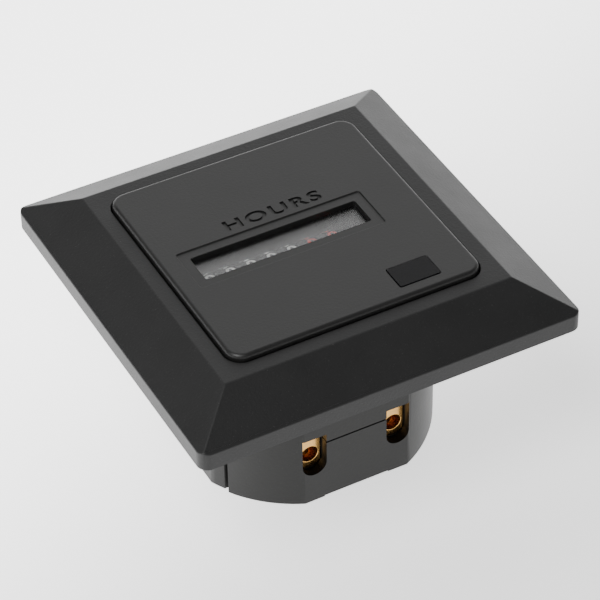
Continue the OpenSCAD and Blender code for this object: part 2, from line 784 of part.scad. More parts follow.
module movement_frame() {
    color([0.85, 0.84, 0.8]) difference() {
        union() {
            along_x(left_x0, left_x1) cheek_2d();
            along_x(cheek_x0, cheek_x1) {
                cheek_2d();
                arms_2d();
            }
            block(left_x0, cheek_x1, base_y0, base_y1, base_top - base_t, base_top);
            for (x = [left_x0 + leg_r, cheek_x1 - leg_r], y = [base_y0 + leg_r, base_y1 - leg_r])
                translate([x, y, board_top]) cylinder(r = leg_r, h = base_top - board_top - eps);
            for (p = motor_posts) rod_x(p, post_r, stator_x1, cheek_x0 + eps);
            for (p = bridge_posts) rod_x(p, post_r, cheek_x1 - eps, bridge_x0);
        }
        for (shaft = [[wheel_axis, counter_shaft_r], [carry_axis, pinion_shaft_r]])
            rod_x(shaft[0], shaft[1] + fix_clear, left_x0 - over, cheek_x1 + over);
        for (axis = [first_axis, second_axis, rotor_axis])
            rod_x(axis, arbor_r + run_clear, cheek_x0 - over, cheek_x1 + over);
        for (p = motor_posts) rod_x(p, screw_r + fix_clear, stator_x1 - over, cheek_x1 + over);
        for (p = bridge_posts) rod_x(p, screw_r + fix_clear, cheek_x0 - over, bridge_x0 + over);
    }
}

// Plate that carries the outer ends of the first and second wheels
module outer_bridge() {
    color([0.85, 0.84, 0.8]) difference() {
        along_x(bridge_x0, bridge_x1) {
            strip_2d(bridge_posts[0], first_axis, arm_r);
            strip_2d(first_axis, second_axis, arm_r);
            strip_2d(second_axis, bridge_posts[1], arm_r);
        }
        for (axis = [first_axis, second_axis])
            rod_x(axis, arbor_r + run_clear, bridge_x0 - over, bridge_x1 + over);
        for (p = bridge_posts) rod_x(p, screw_r + seat_clear, bridge_x0 - over, bridge_x1 + over);
    }
}

// Plate that carries the rotor's inner end, spaced off the stator
module motor_bridge() {
    color([0.85, 0.84, 0.8]) difference() {
        union() {
            along_x(motor_bridge_x0, motor_bridge_x1) {
                strip_2d(motor_posts[0], rotor_axis, post_r);
                strip_2d(motor_posts[1], rotor_axis, post_r);
            }
            for (p = motor_posts) rod_x(p, post_r, motor_bridge_x0, stator_x0);
        }
        rod_x(rotor_axis, arbor_r + run_clear, motor_bridge_x0 - over, motor_bridge_x1 + over);
        for (p = motor_posts) rod_x(p, screw_r + seat_clear, motor_bridge_x0 - over, stator_x0 + over);
    }
}

module counter_shaft() {
    color(steel) rod_x(wheel_axis, counter_shaft_r, left_x0, cheek_x1);
}

module pinion_shaft() {
    color(steel) rod_x(carry_axis, pinion_shaft_r, left_x0, cheek_x1);
}

// Number wheel k: rim, toothed ring on the right, carry disc with two teeth on the left
module number_wheel(k) {
    x = first_wheel_x + k * wheel_pitch;
    last = k == wheel_count - 1;
    ring_end = x + rim_w / 2 + (last ? gear_w : ring_w);
    web_t = 0.9;
    hub_t = 1;
    ring_wall = 0.6;
    carry_r = ring_teeth * carry_module / 2 - wheel_dedendum * carry_module;
    color([0.08, 0.08, 0.08]) difference() {
        union() {
            rod_x(wheel_axis, drum_r, x - rim_w / 2, x + rim_w / 2);
            along_x(x + rim_w / 2 - eps, ring_end) translate(wheel_axis) {
                if (last) wheel_2d(drive_teeth, last_module, 0);
                else wheel_2d(ring_teeth, carry_module, 0);
            }
            along_x(x - rim_w / 2 - carry_w, x - rim_w / 2 + eps) translate(wheel_axis) {
                circle(carry_r);
                intersection() {
                    wheel_2d(ring_teeth, carry_module, 180 / ring_teeth);
                    translate([-drum_r, -ring_teeth * carry_module / 8])
                        square([drum_r, ring_teeth * carry_module / 4]);
                }
            }
        }
        along_x(x - rim_w / 2 + web_t, ring_end + over) translate(wheel_axis) difference() {
            circle(carry_r - ring_wall);
            circle(counter_shaft_r + hub_t);
        }
        rod_x(wheel_axis, counter_shaft_r + run_clear, x - rim_w, ring_end + over);
    }
}

// Carry pinion between number wheels k and k + 1: every other tooth is longer
module carry_pinion(k) {
    end_play = 0.1;
    x0 = first_wheel_x + (k - 1) * wheel_pitch + rim_w / 2 + end_play;
    x1 = x0 + ring_w - end_play;
    long_x1 = first_wheel_x + k * wheel_pitch - rim_w / 2 - carry_w - end_play;
    turn = mesh_turn(ring_teeth, 0, carry_teeth, carry_angle);
    long_slim = 0.8;
    long_cut = 0.1;
    color([0.9, 0.88, 0.82]) difference() {
        union() {
            along_x(x0, x1) translate(carry_axis) pinion_2d(carry_teeth, carry_module, turn);
            along_x(x1 - eps, long_x1) translate(carry_axis)
                gear_2d(carry_teeth, carry_module, pinion_addendum - long_cut, pinion_dedendum + long_cut,
                    turn, every = 2, slim = long_slim);
        }
        rod_x(carry_axis, pinion_shaft_r + run_clear, x0 - over, long_x1 + over);
    }
}

// First wheel: large gear beside the motor pinion, small pinion beyond the middle cheek
module first_wheel() {
    color([0.93, 0.9, 0.78]) {
        along_x(first_gear_x0, first_gear_x0 + gear_w) translate(first_axis)
            wheel_2d(wheel_teeth, first_module, 0);
        along_x(leaf_x0, leaf_x0 + leaf_w) translate(first_axis) pinion_2d(leaf_teeth, second_module, 0);
        rod_x(first_axis, arbor_r, first_gear_x0 - side_play, bridge_x1);
        rod_x(first_axis, arbor_r + shoulder, first_gear_x0, cheek_x0 - side_play);
    }
}

second_leaf_turn = mesh_turn(drive_teeth, 0, leaf_teeth, direction(wheel_axis, second_axis));
second_gear_turn = mesh_turn(leaf_teeth, 0, wheel_teeth, direction(first_axis, second_axis));
// Second wheel: large gear beyond the middle cheek, small pinion beside the last number wheel
module second_wheel() {
    color([0.93, 0.9, 0.78]) {
        along_x(leaf_x0 + eps, leaf_x0 + eps + gear_w) translate(second_axis)
            wheel_2d(wheel_teeth, second_module, second_gear_turn);
        along_x(drive_x0 + eps, drive_x0 + gear_w + gear_overlap) translate(second_axis)
            pinion_2d(leaf_teeth, last_module, second_leaf_turn);
        rod_x(second_axis, arbor_r, drive_x0 + eps, bridge_x1);
        rod_x(second_axis, arbor_r + shoulder, leaf_x0 + eps, bridge_x0 - side_play);
    }
}

// Rotor arbor with its pinion
module rotor_shaft() {
    turn = mesh_turn(wheel_teeth, 0, leaf_teeth, -90);
    color([0.93, 0.9, 0.78]) {
        along_x(first_gear_x0 - gear_overlap, first_gear_x0 + gear_w + gear_overlap) translate(rotor_axis)
            pinion_2d(leaf_teeth, first_module, turn);
        rod_x(rotor_axis, arbor_r, motor_bridge_x0, cheek_x1);
        rod_x(rotor_axis, arbor_r + rotor_shoulder, motor_bridge_x1 + side_play, first_gear_x0);
    }
}

module rotor_magnet() {
    color([0.3, 0.3, 0.33]) difference() {
        rod_x(rotor_axis, magnet_r, magnet_x0, magnet_x0 + magnet_l);
        rod_x(rotor_axis, arbor_r + rotor_shoulder + fix_clear, magnet_x0 - over,
            magnet_x0 + magnet_l + over);
    }
}

// Soft-iron stator: bridge with the rotor's hole and two legs down to the coil's core
module stator() {
    top = rotor_axis[1] + magnet_r + air_gap + neck_t;
    color([0.6, 0.6, 0.58]) difference() {
        along_x(stator_x0, stator_x1) {
            translate([rotor_axis[0] - stator_half, stator_z0])
                square([2 * stator_half, top - stator_z0]);
            for (y = [-stator_half, stator_half - stator_leg_w])
                translate([rotor_axis[0] + y, coil_z - core_h / 2])
                    square([stator_leg_w, stator_z0 - coil_z + core_h / 2 + eps]);
        }
        rod_x(rotor_axis, magnet_r + air_gap, stator_x0 - over, stator_x1 + over);
        for (p = motor_posts) rod_x(p, screw_r + seat_clear, stator_x0 - over, stator_x1 + over);
    }
}

module coil_core() {
    color([0.6, 0.6, 0.58]) block(stator_x1, stator_x1 + core_w, rotor_axis[0] - stator_half,
        rotor_axis[0] + stator_half, coil_z - core_h / 2, coil_z + core_h / 2);
}

// Square ring section round the coil's axis, as a prism along Y
module coil_ring(w, h, hole_w, hole_h, y0, y1) {
    translate([coil_x, y1, coil_z]) rotate([90, 0, 0]) linear_extrude(y1 - y0) difference() {
        square([w, h], center = true);
        square([hole_w, hole_h], center = true);
    }
}

coil_y0 = rotor_axis[0] - coil_l / 2;
coil_y1 = rotor_axis[0] + coil_l / 2;
tube_w = core_w + 2 * (bobbin_wall + fix_clear);
tube_h = core_h + 2 * (bobbin_wall + fix_clear);
module coil_bobbin() {
    hole_w = core_w + 2 * fix_clear;
    hole_h = core_h + 2 * fix_clear;
    color([0.15, 0.15, 0.16]) difference() {
        union() {
            coil_ring(tube_w, tube_h, hole_w, hole_h, coil_y0, coil_y1);
            for (y = [coil_y0, coil_y1 - bobbin_flange_t])
                coil_ring(coil_size, coil_size, hole_w, hole_h, y, y + bobbin_flange_t);
        }
        for (p = coil_pin_at) translate([p[0], p[1], coil_z - coil_size])
            cylinder(r = coil_pin_r + fix_clear, h = coil_size / 2 + coil_pin_in);
    }
}

module coil_winding() {
    color([0.72, 0.35, 0.16]) translate([coil_x, coil_y1 - bobbin_flange_t, coil_z]) rotate([90, 0, 0])
        linear_extrude(coil_l - 2 * bobbin_flange_t) difference() {
            rounded_square_2d(coil_size - 2 * winding_inset, coil_size - 2 * winding_inset, winding_r);
            square([tube_w, tube_h], center = true);
        }
}

module coil_pins() {
    color(brass) for (p = coil_pin_at)
        translate([p[0], p[1], board_z0 - lead_past])
            cylinder(r = coil_pin_r, h = coil_z - coil_size / 2 + coil_pin_in - board_z0 + lead_past);
}

// Striped drum with its gear and its two pivots
module indicator_drum() {
    turn = mesh_turn(wheel_teeth, 0, indicator_teeth, direction(first_axis, indicator_axis));
    gear_x1 = first_gear_x0 + gear_w + gear_overlap;
    drum_play = 0.4;
    color([0.85, 0.2, 0.15]) {
        along_x(first_gear_x0 - gear_overlap, gear_x1) translate(indicator_axis)
            pinion_2d(indicator_teeth, first_module, turn);
        rod_x(indicator_axis, indicator_r, gear_x1 + drum_play, bracket_x[1] - drum_play);
        rod_x(indicator_axis, arbor_r, bracket_x[0], bracket_x[1] + bracket_t);
        rod_x(indicator_axis, arbor_r + shoulder, bracket_x[0] + bracket_t + side_play,
            bracket_x[1] - side_play);
    }
}

board_holes = concat(film_cap_leads, can_leads, resistor_leads, rectifier_leads, crystal_leads);
module circuit_board() {
    color([0.1, 0.35, 0.18]) difference() {
        body_prism(inner_half - board_gap, inner_r - board_gap, board_z0, board_top);
        for (x = [-terminal_x, terminal_x]) translate([x, solder_pin_y, board_z0 - over])
            cylinder(r = solder_pin_r + lead_clear, h = board_t + 2 * over);
        for (p = board_holes) translate([p[0], p[1], board_z0 - over])
            cylinder(r = lead_r + lead_clear, h = board_t + 2 * over);
        for (p = coil_pin_at) translate([p[0], p[1], board_z0 - over])
            cylinder(r = coil_pin_r + lead_clear, h = board_t + 2 * over);
    }
}

// Wire leads that rise from below through the board
module leads_up(places) {
    for (p = places) translate([p[0], p[1], board_z0 - eps]) cylinder(r = lead_r, h = lead_l + eps);
}

module dropper_capacitor() {
    color([0.75, 0.6, 0.15]) {
        translate([film_cap_at[0], film_cap_at[1], 0])
            rounded_prism(film_cap[0], film_cap[1], film_cap_corner_r, board_z0 - tall_part_h, board_z0);
        leads_up(film_cap_leads);
    }
}

module smoothing_capacitor() {
    color([0.12, 0.16, 0.3]) {
        translate([can_at[0], can_at[1], board_z0 - tall_part_h]) difference() {
            cylinder(r = can_r, h = tall_part_h);
            translate([0, 0, tall_part_h - can_bead_up]) rotate_extrude()
                translate([can_r + can_bead_out, 0]) circle(can_bead_r);
        }
        leads_up(can_leads);
    }
}

module resistor() {
    body_z = board_z0 - resistor_r - resistor_up;
    color([0.75, 0.66, 0.48]) {
        translate([resistor_at[0], resistor_at[1], body_z]) rotate([0, 90, 0]) {
            cylinder(r = resistor_r - resistor_waist, h = resistor_l, center = true);
            for (z = [-1, 1]) translate([0, 0, z * (resistor_l - resistor_cap_l) / 2])
                cylinder(r = resistor_r, h = resistor_cap_l, center = true);
            cylinder(r = bent_lead_r, h = resistor_span, center = true);
        }
        for (p = resistor_leads) translate([p[0], p[1], body_z - lead_r])
            cylinder(r = lead_r, h = board_z0 - body_z + lead_l);
    }
}

module rectifier() {
    color([0.1, 0.1, 0.1]) {
        translate([rectifier_at[0], rectifier_at[1], 0])
            rounded_prism(rectifier[0], rectifier[1], rectifier_corner_r, board_z0 - rectifier[2], board_z0);
        leads_up(rectifier_leads);
    }
}

module quartz_crystal() {
    collar_r = crystal_r + crystal_collar;
    z = board_top + collar_r;
    color(steel) {
        translate([crystal_at[0], crystal_at[1], z]) rotate([0, 90, 0]) {
            cylinder(r = crystal_r, h = crystal_l, center = true);
            translate([0, 0, (crystal_collar_l - crystal_l) / 2])
                cylinder(r = collar_r, h = crystal_collar_l, center = true);
        }
        for (p = crystal_leads) translate([p[0], p[1], 0]) {
            translate([0, 0, z]) rotate([0, 90, 0])
                cylinder(r = bent_lead_r, h = crystal_bend + crystal_lead_in);
            translate([0, 0, board_z0 - lead_past])
                cylinder(r = lead_r, h = z + lead_r - board_z0 + lead_past);
        }
    }
}

module driver_chip() {
    chip_pins = 4;
    pin_w = 0.45;
    pin_l = 0.9;
    pin_t = 0.2;
    pin_pitch = 1.27;
    pin_knee = [0.3, 0.8];
    stand = 0.1;
    color([0.1, 0.1, 0.1]) translate([chip_at[0], chip_at[1], board_top]) {
        block(-chip[0] / 2, chip[0] / 2, -chip[1] / 2, chip[1] / 2, stand, chip[2]);
        for (i = [0 : chip_pins - 1], side = [0, 180]) rotate(side)
            translate([(i - (chip_pins - 1) / 2) * pin_pitch, chip[1] / 2 - eps, 0]) {
                block(-pin_w / 2, pin_w / 2, 0, pin_l + eps, 0, pin_t);
                block(-pin_w / 2, pin_w / 2, 0, pin_knee[0] + eps, 0, pin_knee[1]);
            }
    }
}

// Cheese-head screw along X; its head lies on the side that the sign gives
module frame_screw(p, seat_x, tip_x, side) {
    head_x = seat_x + side * screw_head_h;
    color(steel) difference() {
        union() {
            rod_x(p, screw_r, min(seat_x, tip_x), max(seat_x, tip_x));
            rod_x(p, screw_head_r, min(seat_x, head_x), max(seat_x, head_x));
        }
        translate([head_x, p[0], p[1]]) cube([screw_head_h, screw_slot_w, 3 * screw_head_r], center = true);
    }
}

module bridge_screws() {
    for (p = bridge_posts) frame_screw(p, bridge_x1, cheek_x0, 1);
}

module motor_screws() {
    for (p = motor_posts) frame_screw(p, motor_bridge_x0, cheek_x1, -1);
}

bezel_frame();
front_cover();
window_lens();
indicator_lens();
rear_housing();
terminal_left();
terminal_right();
terminal_screw_left();
terminal_screw_right();
movement_frame();
outer_bridge();
motor_bridge();
counter_shaft();
pinion_shaft();
for (k = [0 : wheel_count - 1])
    number_wheel(k);
for (k = [1 : wheel_count - 1])
    carry_pinion(k);
first_wheel();
second_wheel();
rotor_shaft();
rotor_magnet();
stator();
coil_core();
coil_bobbin();
coil_winding();
coil_pins();
indicator_drum();
circuit_board();
dropper_capacitor();
smoothing_capacitor();
resistor();
rectifier();
quartz_crystal();
driver_chip();
bridge_screws();
motor_screws();
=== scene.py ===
"""Looks of a panel hour meter: rounded mouldings, numerals, finishes and a pale studio.

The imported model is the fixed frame. Every length below is in millimetres unless it says otherwise.
"""

import json
import logging
import math
from collections.abc import Callable, Iterable
from dataclasses import dataclass, field
from enum import Enum
from typing import Any, Protocol

import bpy
from mathutils import Matrix, Vector

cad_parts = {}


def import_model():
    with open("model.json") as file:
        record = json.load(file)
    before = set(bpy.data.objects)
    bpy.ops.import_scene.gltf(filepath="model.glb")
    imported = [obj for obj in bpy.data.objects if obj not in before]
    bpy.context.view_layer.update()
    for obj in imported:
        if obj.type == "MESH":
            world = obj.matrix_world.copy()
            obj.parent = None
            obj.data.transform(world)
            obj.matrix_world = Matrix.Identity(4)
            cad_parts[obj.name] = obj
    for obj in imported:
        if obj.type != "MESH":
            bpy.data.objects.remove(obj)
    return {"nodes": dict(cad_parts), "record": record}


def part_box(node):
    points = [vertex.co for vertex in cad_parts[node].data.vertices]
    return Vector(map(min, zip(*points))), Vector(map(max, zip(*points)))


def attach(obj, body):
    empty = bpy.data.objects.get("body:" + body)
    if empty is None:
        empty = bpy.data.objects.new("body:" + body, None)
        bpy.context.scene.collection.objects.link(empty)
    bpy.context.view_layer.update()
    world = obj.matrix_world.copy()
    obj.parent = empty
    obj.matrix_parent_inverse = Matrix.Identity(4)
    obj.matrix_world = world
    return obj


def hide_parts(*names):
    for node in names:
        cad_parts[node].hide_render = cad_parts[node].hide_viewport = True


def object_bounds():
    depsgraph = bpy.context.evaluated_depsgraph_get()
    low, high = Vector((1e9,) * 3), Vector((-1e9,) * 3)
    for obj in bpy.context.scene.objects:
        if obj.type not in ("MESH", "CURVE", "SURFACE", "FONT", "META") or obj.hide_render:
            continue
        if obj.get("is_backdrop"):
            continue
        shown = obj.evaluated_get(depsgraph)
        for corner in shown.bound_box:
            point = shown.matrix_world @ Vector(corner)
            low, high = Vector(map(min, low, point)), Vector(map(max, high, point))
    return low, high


LOG = logging.getLogger("hour_meter")
MM = 0.001
CASE = "case"
DIGITS = 10

Colour = tuple[float, float, float]
Point = tuple[float, float, float]
EdgeTest = Callable[[Vector, Vector], bool]

BLACK: Colour = (0.0, 0.0, 0.0)
WHITE: Colour = (1.0, 1.0, 1.0)
DUST: Colour = (0.45, 0.44, 0.42)

# Two heights or places nearer than this are the same.
NEAR = 0.01
# Points nearer than this are merged, in millimetres and, for lettering, in units of the font.
MERGE = 0.001
FONT_MERGE = 1e-5
# Angles in degrees: faces that count as flat, blunt edges shaded smooth, sharp edges and square ones.
FLAT = 0.6
BLUNT = 35.0
SHARP = 20.0
SQUARE = 50.0


class Signal:
    """A socket's value that takes part in arithmetic."""

    def __init__(self, book: "NodeBook", socket: bpy.types.NodeSocket) -> None:
        """Keeps the socket and the tree that it belongs to."""
        self.book = book
        self.socket = socket

    def math(self, operation: str, *values: "Signal | float") -> "Signal":
        """Adds one Math node.

        Args:
            operation: The Math node's operation.
            values: Its inputs in order.

        Returns:
            The node's result.
        """
        return self.book.add("ShaderNodeMath", {"operation": operation}, dict(enumerate(values)))

    def __add__(self, other: "Signal | float") -> "Signal":
        """Sum of two values."""
        return self.math("ADD", self, other)

    def __radd__(self, other: float) -> "Signal":
        """Sum with a number on the left."""
        return self.math("ADD", other, self)

    def __sub__(self, other: "Signal | float") -> "Signal":
        """Difference of two values."""
        return self.math("SUBTRACT", self, other)

    def __rsub__(self, other: float) -> "Signal":
        """Difference with a number on the left."""
        return self.math("SUBTRACT", other, self)

    def __mul__(self, other: "Signal | float") -> "Signal":
        """Product of two values."""
        return self.math("MULTIPLY", self, other)

    def __rmul__(self, other: float) -> "Signal":
        """Product with a number on the left."""
        return self.math("MULTIPLY", other, self)

    def __gt__(self, other: "Signal | float") -> "Signal":
        """One where this value is the greater, otherwise nought."""
        return self.math("GREATER_THAN", self, other)

    def __lt__(self, other: "Signal | float") -> "Signal":
        """One where this value is the smaller, otherwise nought."""
        return self.math("LESS_THAN", self, other)

    def __abs__(self) -> "Signal":
        """Value without its sign."""
        return self.math("ABSOLUTE", self)

    def fraction(self) -> "Signal":
        """Part of the value after the decimal point."""
        return self.math("FRACT", self)

    def sine(self) -> "Signal":
        """Sine of the value in radians."""
        return self.math("SINE", self)


class NodeBook:
    """Adds nodes to one node tree and links them."""

    def __init__(self, tree: bpy.types.NodeTree) -> None:
        """Keeps the tree."""
        self.tree = tree

    def feed(self, socket: bpy.types.NodeSocket, value: Any) -> None:
        """Links a signal to a socket, or sets the socket's own value."""
        if isinstance(value, Signal):
            self.tree.links.new(value.socket, socket)
        else:
            socket.default_value = value

    def add(self, kind: str, settings: dict[str, Any] | None = None,
            inputs: dict[str | int, Any] | None = None, output: str | int = 0) -> Signal:
        """Adds any node.

        Args:
            kind: The node's type.
            settings: Its properties.
            inputs: Values or signals by socket name or number.
            output: Socket whose value is wanted.

        Returns:
            That output as a signal.
        """
        node = self.tree.nodes.new(kind)
        for key, value in (settings or {}).items():
            setattr(node, key, value)
        for key, value in (inputs or {}).items():
            self.feed(node.inputs[key], value)
        return Signal(self, node.outputs[output])

    def split(self, vector: Signal) -> tuple[Signal, Signal, Signal]:
        """Parts of a vector along X, Y and Z."""
        node = self.add("ShaderNodeSeparateXYZ", inputs={0: vector}).socket.node
        return tuple(Signal(self, socket) for socket in node.outputs)

    def ease(self, value: Signal, edges: tuple[float, float], ends: tuple[float, float]) -> Signal:
        """Goes smoothly from one end value to the other while a value crosses two edges."""
        return self.add("ShaderNodeMapRange", {"interpolation_type": "SMOOTHSTEP"}, {
            "Value": value,
            "From Min": edges[0],
            "From Max": edges[1],
            "To Min": ends[0],
            "To Max": ends[1],
        })

    def blend(self, share: Signal | float, first: Any, second: Any) -> Signal:
        """Mixes two colours, each a signal or a triple."""
        sides = [c if isinstance(c, Signal) else (*c, 1.0) for c in (first, second)]
        return self.add("ShaderNodeMix", {"data_type": "RGBA"}, {0: share, 6: sides[0], 7: sides[1]}, 2)


class Paint(NodeBook):
    """Node tree of one material with its main shader."""

    def __init__(self, name: str) -> None:
        """Makes the material."""
        self.material = bpy.data.materials.new(name)
        self.material.use_nodes = True
        super().__init__(self.material.node_tree)
        self.shader = self.tree.nodes["Principled BSDF"]

    def place(self, centre: Point = (0, 0, 0), stretch: Point = (1, 1, 1)) -> Signal:
        """Object coordinates in millimetres.

        Args:
            centre: Point that becomes the pattern's middle.
            stretch: Length of one pattern unit along each axis.

        Returns:
            The coordinates as a vector.
        """
        spot = self.add("ShaderNodeTexCoord", output="Object")
        return self.add("ShaderNodeMapping", {"vector_type": "TEXTURE"}, {
            "Vector": spot,
            "Location": [c * MM for c in centre],
            "Scale": [s * MM for s in stretch],
        })

    def noise(self, spot: Signal, size: float, detail: float = 2.0) -> Signal:
        """Cloudy noise from 0 to 1 whose blots are about size across."""
        inputs = {"Vector": spot, "Scale": 1.0 / size, "Detail": detail}
        return self.add("ShaderNodeTexNoise", inputs=inputs)

    def bump(self, height: Signal, depth: float) -> Signal:
        """Normal that a relief of the given depth gives."""
        inputs = {"Height": height, "Distance": depth * MM, "Strength": 1.0}
        return self.add("ShaderNodeBump", inputs=inputs)

    def surface(self, **inputs: Any) -> bpy.types.Material:
        """Sets the shader's sockets; an underscore stands for a space in a socket's name."""
        for key, value in inputs.items():
            if isinstance(value, tuple) and len(value) == 3:
                value = (*value, 1.0)
            self.feed(self.shader.inputs[key.replace("_", " ")], value)
        return self.material


def wander(middle: float, swing: float, signal: Signal) -> Signal:
    """Value that strays from its middle by up to a swing, as a signal from 0 to 1 says."""
    return middle - swing + 2 * swing * signal


def shade(colour: Colour, share: float) -> Colour:
    """Colour made darker or lighter by a share."""
    return tuple(c * share for c in colour)


class Finish(Protocol):
    """Anything that can paint a material."""

    def paint(self, name: str) -> bpy.types.Material:
        """Makes the material under a name."""


@dataclass(frozen=True)
class Moulding:
    """Moulded plastic with a spark-eroded or polished surface.

    Attributes:
        colour: Middle colour.
        roughness: Middle roughness.
        grain_size: Width of the surface grain.
        grain_depth: Depth of the surface grain.
        variation: Share by which colour and roughness wander.
        dust: Share of light specks on the surface.
        sheen: Strength of the mirror-like reflection.
        drift_size: Width of the blots in which colour and roughness wander.
        wave_size: Width of the waves that the mould leaves.
        wave_share: Height of those waves as a share of the grain's.
        speck_size: Width of a light speck.
        speck_limit: Noise above which a speck shows.
    """

    colour: Colour
    roughness: float
    grain_size: float = 0.3
    grain_depth: float = 0.004
    variation: float = 0.1
    dust: float = 0.0
    sheen: float = 0.4
    drift_size: float = 9.0
    wave_size: float = 2.5
    wave_share: float = 0.25
    speck_size: float = 0.22
    speck_limit: float = 0.73

    def paint(self, name: str) -> bpy.types.Material:
        """Makes the material under a name."""
        paint = Paint(name)
        spot = paint.place()
        grain = paint.noise(spot, self.grain_size, 3.0)
        drift = paint.noise(spot, self.drift_size)
        shades = [shade(self.colour, 1 + side * self.variation) for side in (-1, 1)]
        colour = paint.blend(drift, *shades)
        if self.dust:
            specks = paint.noise(spot, self.speck_size, 1.0) > self.speck_limit
            colour = paint.blend(specks * self.dust, colour, DUST)
        relief = grain + self.wave_share * paint.noise(spot, self.wave_size, 1.0)
        return paint.surface(
            Base_Color=colour,
            Roughness=wander(self.roughness, self.variation * self.roughness, drift),
            Normal=paint.bump(relief, self.grain_depth),
            Specular_IOR_Level=self.sheen,
        )


@dataclass(frozen=True)
class ClearPlastic:
    """Clear plastic that bends light, with a finely etched face.

    Attributes:
        tint: Colour of the plastic.
        etch: Strength of the etched face's dull reflection.
        etch_roughness: Roughness of the etched face.
        etch_index: Refractive index that the etched face reflects with.
        index: Refractive index of the plastic.
        polish: Roughness of the plastic below the etched face.
        haze_size: Width of the blots in which the etching wanders.
        haze: Share by which the etching wanders.
    """

    tint: Colour
    etch: float
    etch_roughness: float = 0.35
    etch_index: float = 1.8
    index: float = 1.25
    polish: float = 0.02
    haze_size: float = 3.0
    haze: float = 0.1

    def paint(self, name: str) -> bpy.types.Material:
        """Makes the material under a name."""
        paint = Paint(name)
        blots = paint.noise(paint.place(), self.haze_size)
        return paint.surface(
            Base_Color=self.tint,
            Roughness=self.polish,
            IOR=self.index,
            Specular_Tint=BLACK,
            Transmission_Weight=1.0,
            Coat_Weight=wander(self.etch, self.haze * self.etch, blots),
            Coat_IOR=self.etch_index,
            Coat_Roughness=self.etch_roughness,
        )


@dataclass(frozen=True)
class SmokedPlastic:
    """Nearly opaque dark polished plastic.

    Attributes:
        tint: Colour of the plastic.
        roughness: Middle roughness.
        density: Share of the light that doesn't pass.
        sheen: Strength of the mirror-like reflection.
        haze_size: Width of the blots in which tint and roughness wander.
        haze: Share by which tint and roughness wander.
    """

    tint: Colour
    roughness: float
    density: float = 0.93
    sheen: float = 0.15
    haze_size: float = 2.0
    haze: float = 0.3

    def paint(self, name: str) -> bpy.types.Material:
        """Makes the material under a name."""
        paint = Paint(name)
        blots = paint.noise(paint.place(), self.haze_size)
        return paint.surface(
            Base_Color=paint.blend(blots, self.tint, shade(self.tint, 1 + self.haze)),
            Roughness=wander(self.roughness, self.haze * self.roughness, blots),
            Alpha=self.density,
            Specular_IOR_Level=self.sheen,
        )


@dataclass(frozen=True)
class Metal:
    """Bare metal with fine drawing lines.

    Attributes:
        colour: Colour of the metal.
        roughness: Middle roughness.
        lines: Length of one pattern unit along each axis.
        tarnish: Colour of the duller patches.
        line_depth: Depth of the drawing lines.
        line_swing: Share by which the lines change the roughness.
        patch_size: Width of the duller patches.
        patch_share: Strength of the tarnish.
    """

    colour: Colour
    roughness: float
    lines: Point = (0.12, 2.5, 0.12)
    tarnish: Colour = (0.3, 0.22, 0.12)
    line_depth: float = 0.004
    line_swing: float = 0.3
    patch_size: float = 1.6
    patch_share: float = 0.5

    def paint(self, name: str) -> bpy.types.Material:
        """Makes the material under a name."""
        paint = Paint(name)
        drawn = paint.noise(paint.place(stretch=self.lines), 1.0)
        dull = paint.noise(paint.place(), self.patch_size, 3.0)
        return paint.surface(
            Base_Color=paint.blend(self.patch_share * dull * dull, self.colour, self.tarnish),
            Metallic=1.0,
            Roughness=wander(self.roughness, self.line_swing * self.roughness, drawn),
            Normal=paint.bump(drawn, self.line_depth),
        )


@dataclass(frozen=True)
class Winding:
    """Enamelled wire wound round the Y axis.

    Attributes:
        colour: Colour of the enamel.
        wire: Diameter of the wire.
        roughness: Middle roughness.
        swing: Amount by which the roughness wanders.
        gap_shade: Painted shade in the gaps between turns: their brightness as a share of the enamel's.
        patch_size: Width of the blots in which the enamel wanders.
        metallic: Share of the copper that shows through.
    """

    colour: Colour
    wire: float
    roughness: float = 0.38
    swing: float = 0.1
    gap_shade: float = 0.45
    patch_size: float = 0.8
    metallic: float = 0.85

    def paint(self, name: str) -> bpy.types.Material:
        """Makes the material under a name."""
        paint = Paint(name)
        spot = paint.place()
        _, along, _ = paint.split(spot)
        turns = abs((along * (math.pi / self.wire)).sine())
        patchy = paint.noise(spot, self.patch_size)
        return paint.surface(
            # Painted shade: the enamel's colour is darkened in the gaps between turns, where shade falls.
            Base_Color=paint.blend(turns * patchy, shade(self.colour, self.gap_shade), self.colour),
            Metallic=self.metallic,
            Roughness=wander(self.roughness, self.swing, patchy),
            Normal=paint.bump(turns, self.wire / 2),
        )


@dataclass(frozen=True)
class Laminate:
    """Circuit board: solder mask over copper tracks.

    Attributes:
        mask: Colour of the mask on bare board.
        track: Colour of the mask over copper.
        pitch: Tracks for each millimetre along X and Y.
        bend_size: Width of the tracks' bends.
        bend: Strength of the bends.
        width: Half a track's width as a share of its pitch.
        cover: Strength of the tracks' colour.
        weave_size: Width of the glass weave.
        weave_share: Height of the weave as a share of the tracks'.
        relief: Height of the tracks.
        roughness: Middle roughness.
        swing: Amount by which the roughness wanders.
    """

    mask: Colour
    track: Colour
    pitch: tuple[float, float] = (0.35, 0.12)
    bend_size: float = 9.0
    bend: float = 2.2
    width: float = 0.14
    cover: float = 0.8
    weave_size: float = 0.5
    weave_share: float = 0.2
    relief: float = 0.03
    roughness: float = 0.395
    swing: float = 0.075

    def paint(self, name: str) -> bpy.types.Material:
        """Makes the material under a name."""
        paint = Paint(name)
        spot = paint.place()
        across, along, _ = paint.split(spot)
        bends = paint.noise(spot, self.bend_size, 0.0)
        count = across * self.pitch[0] + along * self.pitch[1] + self.bend * bends
        tracks = abs(count.fraction() - 0.5) < self.width
        weave = paint.noise(spot, self.weave_size)
        return paint.surface(
            Base_Color=paint.blend(tracks * self.cover, self.mask, self.track),
            Roughness=wander(self.roughness, self.swing, weave),
            Normal=paint.bump(tracks + self.weave_share * weave, self.relief),
        )


